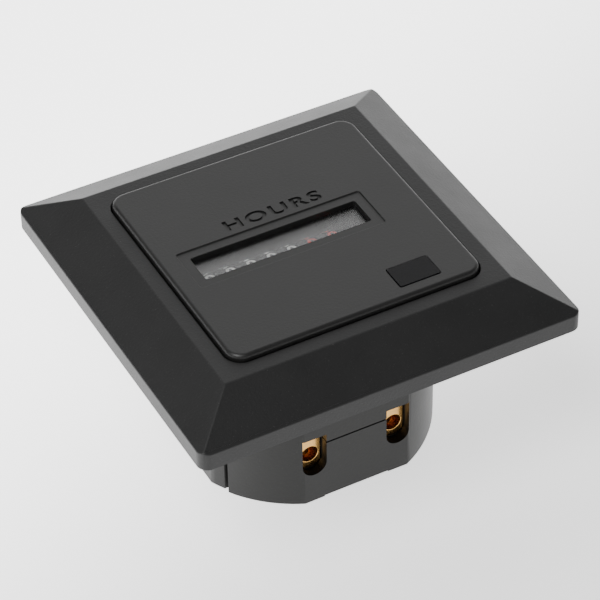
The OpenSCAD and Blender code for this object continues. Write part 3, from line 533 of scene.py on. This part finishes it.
@dataclass(frozen=True)
class Striped:
    """Drum with coloured stripes along its axis, which lies along X.

    Attributes:
        colours: The two colours that take turns.
        count: Number of pairs of stripes round the drum.
        centre: Point on the drum's axis.
        slant: Pairs of stripes that each millimetre along the axis goes round.
        grain_size: Width of the surface grain.
        grain_depth: Depth of the surface grain.
        roughness: Middle roughness.
        swing: Amount by which the roughness wanders.
    """

    colours: tuple[Colour, Colour]
    count: int
    centre: Point
    slant: float = 0.12
    grain_size: float = 0.25
    grain_depth: float = 0.004
    roughness: float = 0.475
    swing: float = 0.075

    def paint(self, name: str) -> bpy.types.Material:
        """Makes the material under a name."""
        paint = Paint(name)
        spot = paint.place(self.centre)
        along, side, up = paint.split(spot)
        turn = side.math("ARCTAN2", side, up) * (self.count / math.tau) + self.slant * along
        grain = paint.noise(spot, self.grain_size)
        return paint.surface(
            Base_Color=paint.blend(turn.fraction() > 0.5, *self.colours),
            Roughness=wander(self.roughness, self.swing, grain),
            Normal=paint.bump(grain, self.grain_depth),
        )


@dataclass(frozen=True)
class Banded:
    """Lacquered body with colour bands across X.

    Attributes:
        ground: Colour of the lacquer.
        bands: Places along X and colours of the bands.
        width: Width of a band.
        run_size: Width of the runs in the lacquer.
        run_depth: Depth of the runs.
        roughness: Middle roughness.
        swing: Amount by which the roughness wanders.
    """

    ground: Colour
    bands: tuple[tuple[float, Colour], ...]
    width: float
    run_size: float = 0.7
    run_depth: float = 0.01
    roughness: float = 0.4
    swing: float = 0.1

    def paint(self, name: str) -> bpy.types.Material:
        """Makes the material under a name."""
        paint = Paint(name)
        spot = paint.place()
        along, _, _ = paint.split(spot)
        colour: Any = self.ground
        for place, band in self.bands:
            colour = paint.blend(abs(along - place) < self.width / 2, colour, band)
        runs = paint.noise(spot, self.run_size)
        return paint.surface(
            Base_Color=colour,
            Roughness=wander(self.roughness, self.swing, runs),
            Normal=paint.bump(runs, self.run_depth),
        )


FINISHES: dict[str, Finish] = {
    "bezel_plastic": Moulding((0.0085, 0.0085, 0.0086), 0.5, grain_size=0.45, grain_depth=0.04, dust=0.05),
    "cover_plastic": Moulding((0.0105, 0.0105, 0.0102), 0.42, grain_size=0.5, grain_depth=0.02, dust=0.03),
    "clear_lens": ClearPlastic((0.95, 0.96, 0.96), 0.9),
    "smoked_lens": SmokedPlastic((0.004, 0.004, 0.0045), 0.16),
    "housing_plastic": Moulding((0.0075, 0.0075, 0.0068), 0.4, grain_size=0.6, grain_depth=0.02,
        dust=0.03, sheen=0.3),
    "terminal_brass": Metal((0.8, 0.46, 0.15), 0.24, lines=(2.5, 0.1, 0.1), tarnish=(0.22, 0.12, 0.04)),
    "screw_steel": Metal((0.66, 0.66, 0.67), 0.3, lines=(0.1, 0.1, 2.0), tarnish=(0.4, 0.38, 0.3)),
    "frame_plastic": Moulding((0.03, 0.03, 0.03), 0.5, grain_size=0.8, grain_depth=0.005),
    "black_wheel": Moulding((0.008, 0.008, 0.008), 0.5),
    "decimal_wheel": Moulding((0.008, 0.008, 0.008), 0.5),
    "pinion_plastic": Moulding((0.8, 0.77, 0.69), 0.4),
    "gear_plastic": Moulding((0.83, 0.77, 0.58), 0.4),
    "magnet": Metal((0.13, 0.13, 0.14), 0.45, lines=(0.4, 0.4, 0.4), tarnish=(0.06, 0.06, 0.06)),
    "soft_iron": Metal((0.5, 0.49, 0.47), 0.4, lines=(0.15, 2.5, 2.5), tarnish=(0.28, 0.25, 0.2)),
    "bobbin_plastic": Moulding((0.03, 0.03, 0.032), 0.4),
    "copper_wire": Winding((0.78, 0.33, 0.12), 0.12),
    "contact_brass": Metal((0.75, 0.68, 0.52), 0.3, lines=(0.1, 0.1, 1.5)),
    "indicator_plastic": Striped(((0.7, 0.05, 0.03), (0.8, 0.8, 0.78)), 4, (0, -18.85, 4.9)),
    "board_laminate": Laminate((0.02, 0.14, 0.06), (0.07, 0.3, 0.12)),
    "film_capacitor": Moulding((0.62, 0.42, 0.06), 0.3, grain_size=1.0),
    "capacitor_sleeve": Moulding((0.03, 0.045, 0.14), 0.25, grain_size=1.2),
    "resistor_lacquer": Banded((0.62, 0.5, 0.32), ((-8.7, (0.25, 0.1, 0.03)), (-7.2, (0.01, 0.01, 0.01)),
        (-5.7, (0.6, 0.2, 0.02)), (-4.0, (0.6, 0.45, 0.12))), 0.5),
    "black_package": Moulding((0.02, 0.02, 0.02), 0.55, grain_size=0.2),
    "crystal_can": Metal((0.72, 0.72, 0.71), 0.25, lines=(2.5, 0.1, 0.1), tarnish=(0.5, 0.48, 0.42)),
}


class Ink(Enum):
    """Paints that the numerals are printed in."""

    WHITE = Moulding((0.86, 0.86, 0.84), 0.4, grain_size=0.15, grain_depth=0.003, variation=0.04)
    RED = Moulding((0.74, 0.045, 0.03), 0.4, grain_size=0.15, grain_depth=0.003, variation=0.06)


class Palette:
    """Materials made once for each name."""

    def __init__(self) -> None:
        """Starts empty."""
        self.made: dict[str, bpy.types.Material] = {}

    def get(self, name: str, finish: Finish | None = None) -> bpy.types.Material:
        """Material of a slot, or of a finish under a name of its own."""
        if name not in self.made:
            self.made[name] = (finish or FINISHES[name]).paint(name)
        return self.made[name]


def pick(piece: bpy.types.Object) -> None:
    """Leaves one object selected and active."""
    bpy.ops.object.select_all(action="DESELECT")
    piece.select_set(True)
    bpy.context.view_layer.objects.active = piece


def select_edges(piece: bpy.types.Object, test: EdgeTest, sharp: float) -> int:
    """Selects the sharp edges that pass a test.

    Args:
        piece: Mesh object in edit mode or out of it.
        test: Says whether an edge between two points, in millimetres, is wanted.
        sharp: Smallest angle between an edge's faces, in degrees.

    Returns:
        Number of edges that are selected.
    """
    pick(piece)
    bpy.ops.object.mode_set(mode="EDIT")
    bpy.ops.mesh.select_mode(type="EDGE")
    bpy.ops.mesh.select_all(action="DESELECT")
    bpy.ops.mesh.edges_select_sharp(sharpness=math.radians(sharp))
    bpy.ops.object.mode_set(mode="OBJECT")
    points = [v.co / MM for v in piece.data.vertices]
    count = 0
    for edge in piece.data.edges:
        edge.select = edge.select and test(*(points[i] for i in edge.vertices))
        count += edge.select
    for face in piece.data.polygons:
        face.select = False
    bpy.ops.object.mode_set(mode="EDIT")
    return count


def merged_copy(source: bpy.types.Object, name: str) -> bpy.types.Object:
    """Copies a node's mesh, joins it up and merges its triangles into flat faces.

    Args:
        source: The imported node.
        name: Name of the copy.

    Returns:
        The new object, at the origin.
    """
    piece = bpy.data.objects.new(name, source.data.copy())
    bpy.context.scene.collection.objects.link(piece)
    pick(piece)
    bpy.ops.mesh.customdata_custom_splitnormals_clear()
    bpy.ops.object.mode_set(mode="EDIT")
    bpy.ops.mesh.select_all(action="SELECT")
    bpy.ops.mesh.remove_doubles(threshold=MERGE * MM)
    bpy.ops.mesh.dissolve_limited(angle_limit=math.radians(FLAT))
    bpy.ops.object.mode_set(mode="OBJECT")
    return piece


def round_edges(piece: bpy.types.Object, test: EdgeTest, radius: float, steps: int = 3,
                sharp: float = SHARP) -> None:
    """Rounds the sharp edges that pass a test."""
    if select_edges(piece, test, sharp):
        bpy.ops.mesh.bevel(offset=radius * MM, segments=steps, profile=0.5, clamp_overlap=False)
    bpy.ops.object.mode_set(mode="OBJECT")


def smooth(piece: bpy.types.Object) -> None:
    """Shades a piece smooth across blunt edges and leaves its large faces flat."""
    pick(piece)
    bpy.ops.object.shade_smooth_by_angle(angle=math.radians(BLUNT))
    weigh = piece.modifiers.new("weigh", "WEIGHTED_NORMAL")
    weigh.keep_sharp = True
    bpy.ops.object.modifier_apply(modifier=weigh.name)


def dress(piece: bpy.types.Object, material: bpy.types.Material) -> None:
    """Gives a piece one material all over."""
    piece.data.materials.clear()
    piece.data.materials.append(material)


def span(piece: bpy.types.Object, axis: int) -> tuple[float, float]:
    """Lowest and highest place of a mesh along an axis, in millimetres."""
    places = [v.co[axis] / MM for v in piece.data.vertices]
    return min(places), max(places)


def text_mesh(name: str, words: str, width: float, height: float, depth: float,
              spacing: float = 1.0, weight: float = 0.0) -> bpy.types.Object:
    """Makes plain lettering as a closed mesh, centred on the origin and facing +Z.

    Args:
        name: Name of the object.
        words: What it says.
        width: Full width of the lettering.
        height: Full height of the lettering.
        depth: Thickness.
        spacing: Space between letters, as a share of the font's own.
        weight: Amount by which the strokes grow on each side, as a share of the font's size.

    Returns:
        The mesh object.
    """
    bpy.ops.object.select_all(action="DESELECT")
    bpy.ops.object.text_add()
    piece = bpy.context.object
    piece.name = name
    piece.data.body = words
    piece.data.space_character = spacing
    piece.data.bevel_depth = weight
    piece.data.bevel_resolution = 0
    piece.data.extrude = 0.5
    bpy.ops.object.convert(target="MESH")
    piece = bpy.context.object
    bpy.ops.object.mode_set(mode="EDIT")
    bpy.ops.mesh.select_all(action="SELECT")
    bpy.ops.mesh.remove_doubles(threshold=FONT_MERGE)
    bpy.ops.object.mode_set(mode="OBJECT")
    low_x, high_x = (v * MM for v in span(piece, 0))
    low_y, high_y = (v * MM for v in span(piece, 1))
    middle = Vector(((low_x + high_x) / 2, (low_y + high_y) / 2, 0))
    scale = (width * MM / (high_x - low_x), height * MM / (high_y - low_y), depth * MM, 1)
    piece.data.transform(Matrix.Diagonal(scale) @ Matrix.Translation(-middle))
    return piece


@dataclass
class Casing:
    """Mouldings, lenses and terminals with the edge radii that their making leaves.

    Attributes:
        nodes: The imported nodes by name.
        palette: Where the materials come from.
        bezel_radius: Radius along the bezel's ridge, hips and rim.
        window_radius: Radius round the window's step and opening.
        window_reach: Furthest place of the window from the middle, as a share of the bezel's side.
        lens_radius: Radius round the two lenses.
        housing_radius: Radius round the body's rear end.
        terminal_radius: Radius along the edges of the terminal blocks.
        rim_foot: Height above the panel below which the bezel stays sharp.
        word: Lettering cut into the face plate.
        word_at: Middle of the lettering on the face.
        word_size: Width and height of the lettering.
        word_depth: Depth of the cut.
        word_spacing: Space between letters, as a share of the font's own.
        word_weight: Amount by which the strokes grow, as a share of the font's size.
    """

    nodes: dict[str, bpy.types.Object]
    palette: Palette
    bezel_radius: float = 0.22
    window_radius: float = 0.1
    window_reach: float = 0.3
    lens_radius: float = 0.06
    housing_radius: float = 0.3
    terminal_radius: float = 0.15
    rim_foot: float = 2.5
    word: str = "HOURS"
    word_at: tuple[float, float] = (-0.35, 6.9)
    word_size: tuple[float, float] = (18.5, 2.7)
    word_depth: float = 0.3
    word_spacing: float = 1.2
    word_weight: float = 0.025

    def build(self) -> None:
        """Makes the pieces and puts them on the case."""
        self._bezel()
        self._cover()
        self._lenses()
        self._housing()
        self._terminals()

    def _keep(self, piece: bpy.types.Object, node: str, slot: str) -> None:
        """Smooths, paints and seats a piece in place of its node."""
        smooth(piece)
        dress(piece, self.palette.get(slot))
        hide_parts(node)
        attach(piece, CASE)
        LOG.info("%s: %d faces", piece.name, len(piece.data.polygons))

    def _bezel(self) -> None:
        """Adapter bezel with softened ridge, slopes and rim."""
        piece = merged_copy(self.nodes["bezel_frame"], "bezel_moulding")
        round_edges(piece, lambda a, b: min(a.z, b.z) > self.rim_foot, self.bezel_radius)
        self._keep(piece, "bezel_frame", "bezel_plastic")

    def _cover(self) -> None:
        """Face plate with a softened window and the word cut into it."""
        piece = merged_copy(self.nodes["front_cover"], "front_cover_moulding")
        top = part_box("front_cover")[1].z / MM
        lens_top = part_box("window_lens")[1].z / MM
        low, high = (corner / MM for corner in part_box("bezel_frame"))
        inner = self.window_reach * (high.x - low.x)

        def round_window(a: Vector, b: Vector) -> bool:
            """Whether an edge lies round the window, between its lens and the face."""
            level = abs(a.z - b.z) < NEAR and a.z > lens_top + NEAR
            return level and max(abs(a.x), abs(b.x), abs(a.y), abs(b.y)) < inner and a.z <= top

        round_edges(piece, round_window, self.window_radius, sharp=SQUARE)
        cutter = text_mesh("word_cutter", self.word, *self.word_size, 2 * self.word_depth,
            self.word_spacing, self.word_weight)
        cutter.data.transform(Matrix.Translation((self.word_at[0] * MM, self.word_at[1] * MM, top * MM)))
        pick(piece)
        cut = piece.modifiers.new("word", "BOOLEAN")
        cut.operation = "DIFFERENCE"
        cut.solver = "MANIFOLD"
        cut.object = cutter
        bpy.ops.object.modifier_apply(modifier=cut.name)
        bpy.data.objects.remove(cutter)
        self._keep(piece, "front_cover", "cover_plastic")

    def _lenses(self) -> None:
        """Counter lens and the smoked running-indicator lens with polished edges."""
        for node, slot in (("window_lens", "clear_lens"), ("indicator_lens", "smoked_lens")):
            piece = merged_copy(self.nodes[node], f"{node}_moulding")
            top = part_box(node)[1].z / MM
            round_edges(piece, lambda a, b: min(a.z, b.z) > top - NEAR, self.lens_radius)
            self._keep(piece, node, slot)

    def _housing(self) -> None:
        """Body behind the panel with a softened rear end."""
        piece = merged_copy(self.nodes["rear_housing"], "rear_housing_moulding")
        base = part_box("rear_housing")[0].z / MM
        round_edges(piece, lambda a, b: max(a.z, b.z) < base + NEAR, self.housing_radius)
        self._keep(piece, "rear_housing", "housing_plastic")

    def _terminals(self) -> None:
        """Brass blocks with broken edges."""
        for node in ("terminal_left", "terminal_right"):
            piece = merged_copy(self.nodes[node], f"{node}_block")
            round_edges(piece, lambda a, b: True, self.terminal_radius, sharp=SQUARE)
            self._keep(piece, node, "terminal_brass")


@dataclass
class Numerals:
    """White and red numerals round the number wheels.

    Attributes:
        nodes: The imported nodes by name.
        palette: Where the materials come from.
        size: Width and height of a numeral.
        one_width: Width of the one as a share of the other numerals'.
        proud: Height of a numeral above the wheel's rim.
        sunk: Depth of a numeral's root in the rim.
        lift: Angle by which the shown numeral stands above the middle, in degrees.
        weight: Amount by which the strokes grow, as a share of the font's size.
        slices: Number of cuts that let a numeral follow the rim.
        rim_middle: Distance from a wheel's left end to the middle of its rim.
        decimals: Number of wheels after the decimal point.
        axis: Point on the wheels' axis, in metres.
        radius: Radius of the wheels.
    """

    nodes: dict[str, bpy.types.Object]
    palette: Palette
    size: tuple[float, float] = (1.75, 3.1)
    one_width: float = 0.55
    proud: float = 0.03
    sunk: float = 0.04
    lift: float = 8.0
    weight: float = 0.025
    slices: int = 10
    rim_middle: float = 1.7
    decimals: int = 2
    axis: Vector = field(init=False)
    radius: float = field(init=False)

    def build(self) -> None:
        """Makes one ring of numerals and copies it to each wheel."""
        wheels = sorted((n for n in self.nodes if n.startswith("wheel_")), key=lambda n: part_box(n)[0].x)
        low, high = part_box(wheels[0])
        self.axis = (low + high) / 2
        self.radius = (high.z - low.z) / 2 / MM
        ring = self._ring()
        for place, wheel in enumerate(wheels):
            self._seat(ring, wheel, Ink.RED if place >= len(wheels) - self.decimals else Ink.WHITE)
        bpy.data.objects.remove(ring)

    def _glyph(self, digit: int) -> bpy.types.Object:
        """One numeral, sliced across so that it can bend."""
        width, height = self.size
        if digit == 1:
            width *= self.one_width
        piece = text_mesh(f"numeral_{digit}", str(digit), width, height, self.proud + self.sunk,
            weight=self.weight)
        for cut in range(1, self.slices):
            pick(piece)
            bpy.ops.object.mode_set(mode="EDIT")
            bpy.ops.mesh.select_all(action="SELECT")
            level = (cut / self.slices - 0.5) * height * MM
            bpy.ops.mesh.bisect(plane_co=(0, level, 0), plane_no=(0, 1, 0))
            bpy.ops.object.mode_set(mode="OBJECT")
        return piece

    def _ring(self) -> bpy.types.Object:
        """Ten numerals bent round the wheels' axis."""
        glyphs = [self._glyph(digit) for digit in range(DIGITS)]
        middle = self.radius + (self.proud - self.sunk) / 2
        for digit, glyph in enumerate(glyphs):
            facing = math.radians(90 + 360 / DIGITS * digit - self.lift)
            for vertex in glyph.data.vertices:
                angle = facing - vertex.co.y / (self.radius * MM)
                reach = middle * MM + vertex.co.z
                vertex.co = (vertex.co.x, self.axis.y + reach * math.cos(angle),
                    self.axis.z + reach * math.sin(angle))
        bpy.ops.object.select_all(action="DESELECT")
        for glyph in glyphs:
            glyph.select_set(True)
        bpy.context.view_layer.objects.active = glyphs[0]
        bpy.ops.object.join()
        return glyphs[0]

    def _seat(self, ring: bpy.types.Object, wheel: str, ink: Ink) -> None:
        """Puts a copy of the ring on one wheel."""
        piece = bpy.data.objects.new(wheel.replace("wheel", "numerals"), ring.data.copy())
        bpy.context.scene.collection.objects.link(piece)
        piece.data.transform(Matrix.Translation((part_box(wheel)[0].x + self.rim_middle * MM, 0, 0)))
        smooth(piece)
        dress(piece, self.palette.get(f"{ink.name.lower()}_ink", ink.value))
        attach(piece, f"{wheel}_body")
        LOG.info("%s: %d faces", piece.name, len(piece.data.polygons))


@dataclass
class Studio:
    """Pale floor, soft light and the camera.

    Attributes:
        floor_level: Height of the part's lowest point.
        eye: Place of the camera.
        azimuth: Angle round the part at which the camera looks, in degrees.
        elevation: Angle from which the camera looks down, in degrees.
        roll: Lean of the camera, in degrees.
        aim: Sideways and upward aim, as shares of the distance.
        lens: Focal length.
        sensor: Width of the sensor.
        clip_near: Nearest distance that is drawn, in metres.
        window: Way towards the sky's bright window.
        window_edge: Cosines between which the window fades in.
        window_light: Strength of the window.
        rim_edge: Upward parts of a way between which the horizon's glow fades out.
        rim_light: Strength of the horizon's glow.
        top_light: Strength of the sky overhead.
        key_place: Place of the soft box, in metres.
        key_side: Side of the soft box, in metres.
        key_watts: Power of the soft box.
        floor_side: Side of the floor, in metres.
        floor_far: Way along the floor in which its glow grows.
        floor_fade: Places along that way between which the glow grows.
        floor_glow: Weakest and strongest glow.
        floor_drop: Gap that keeps the floor clear of the part.
        floor_colour: Colour of the floor.
        floor_roughness: Roughness of the floor.
    """

    floor_level: float
    eye: Point = (-175.35, -336.13, 326.3)
    azimuth: float = -27.54984
    elevation: float = 40.43053
    roll: float = -1.0483
    aim: tuple[float, float] = (0.0022093, -0.0139633)
    lens: float = 173.73
    sensor: float = 36.0
    clip_near: float = 0.01
    window: Point = (0.37, 0.68, 0.63)
    window_edge: tuple[float, float] = (0.78, 0.92)
    window_light: float = 1.35
    rim_edge: tuple[float, float] = (0.08, 0.36)
    rim_light: float = 1.6
    top_light: float = 0.12
    key_place: Point = (-0.5, -0.25, 0.83)
    key_side: float = 0.5
    key_watts: float = 9.0
    floor_side: float = 6.0
    floor_far: Point = (-0.35, 0.94, 0.0)
    floor_fade: tuple[float, float] = (-60.0, 80.0)
    floor_glow: tuple[float, float] = (1.0, 3.4)
    floor_drop: float = 0.03
    floor_colour: Colour = (0.85, 0.85, 0.85)
    floor_roughness: float = 0.9

    def build(self) -> None:
        """Makes the stage."""
        self._floor()
        self._world()
        self._softbox()
        self._camera()

    def _floor(self) -> None:
        """Wide pale floor that glows, more so behind the object, as a sweep lit from the back does."""
        bpy.ops.object.select_all(action="DESELECT")
        level = (self.floor_level - self.floor_drop) * MM
        bpy.ops.mesh.primitive_plane_add(size=self.floor_side, location=(0, 0, level))
        floor = bpy.context.object
        floor.name = "floor"
        bpy.ops.object.transform_apply(location=True, rotation=True, scale=True)
        paint = Paint("pale_floor")
        reach = paint.add("ShaderNodeVectorMath", {"operation": "DOT_PRODUCT"},
            {0: paint.place(), 1: Vector(self.floor_far).normalized()}, "Value")
        weakest, strongest = self.floor_glow
        share = paint.ease(reach, self.floor_fade, (weakest / strongest, 1.0))
        paint.surface(
            Base_Color=self.floor_colour,
            Roughness=self.floor_roughness,
            Emission_Strength=strongest,
            Emission_Color=paint.blend(share, BLACK, WHITE),
        )
        dress(floor, paint.material)
        floor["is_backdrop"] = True

    def _world(self) -> None:
        """Sky that is bright at the horizon and in one broad window, and dim overhead."""
        world = bpy.data.worlds.new("studio")
        bpy.context.scene.world = world
        world.use_nodes = True
        book = NodeBook(world.node_tree)
        way = book.add("ShaderNodeTexCoord", output="Generated")
        _, _, up = book.split(way)
        toward = book.add("ShaderNodeVectorMath", {"operation": "DOT_PRODUCT"},
            {0: way, 1: Vector(self.window).normalized()}, "Value")
        glow = book.ease(toward, self.window_edge, (0.0, self.window_light))
        rim = book.ease(up, self.rim_edge, (self.rim_light, self.top_light))
        backdrop = world.node_tree.nodes["Background"]
        book.feed(backdrop.inputs["Color"], (*WHITE, 1.0))
        book.feed(backdrop.inputs["Strength"], glow + rim)

    def _softbox(self) -> None:
        """Square soft box high up on the left, which reaches the wheels behind the window."""
        lamp = bpy.data.lights.new("key_softbox", "AREA")
        lamp.size = self.key_side
        lamp.energy = self.key_watts
        box = bpy.data.objects.new("key_softbox", lamp)
        bpy.context.scene.collection.objects.link(box)
        box.location = self.key_place
        box.rotation_euler = (-Vector(self.key_place)).to_track_quat("-Z", "Y").to_euler()

    def _camera(self) -> None:
        """Camera at the photograph's viewing angle."""
        around, above, lean = (math.radians(a) for a in (self.azimuth, self.elevation, self.roll))
        flat = math.cos(above)
        back = Vector((math.sin(around) * flat, -math.cos(around) * flat, math.sin(above)))
        right = Vector((math.cos(around), math.sin(around), 0))
        up = back.cross(right)
        tilted_right = math.cos(lean) * right + math.sin(lean) * up
        tilted_up = math.cos(lean) * up - math.sin(lean) * right
        forward = (-back + self.aim[0] * tilted_right + self.aim[1] * tilted_up).normalized()
        side = (tilted_right - tilted_right.dot(forward) * forward).normalized()
        turn = Matrix((side, (-forward).cross(side), -forward)).transposed()
        data = bpy.data.cameras.new("camera")
        data.lens = self.lens
        data.sensor_width = self.sensor
        data.clip_start = self.clip_near
        camera = bpy.data.objects.new("camera", data)
        bpy.context.scene.collection.objects.link(camera)
        camera.matrix_world = Matrix.Translation(Vector(self.eye) * MM) @ turn.to_4x4()
        bpy.context.scene.camera = camera


def paint_nodes(frame: dict[str, Any], palette: Palette) -> None:
    """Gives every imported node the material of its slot."""
    for part in frame["record"]["subparts"]:
        dress(frame["nodes"][part["node"]], palette.get(part["material_slot"]))
        LOG.info("%s: %s", part["node"], part["material_slot"])


def main() -> None:
    """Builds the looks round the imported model."""
    logging.basicConfig(level=logging.INFO, format="%(name)s: %(message)s")
    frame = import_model()
    cad_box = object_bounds()
    palette = Palette()
    paint_nodes(frame, palette)
    Studio(min(corner.z for corner in cad_box) / MM).build()
    Casing(frame["nodes"], palette).build()
    Numerals(frame["nodes"], palette).build()


if __name__ == "__main__":
    main()
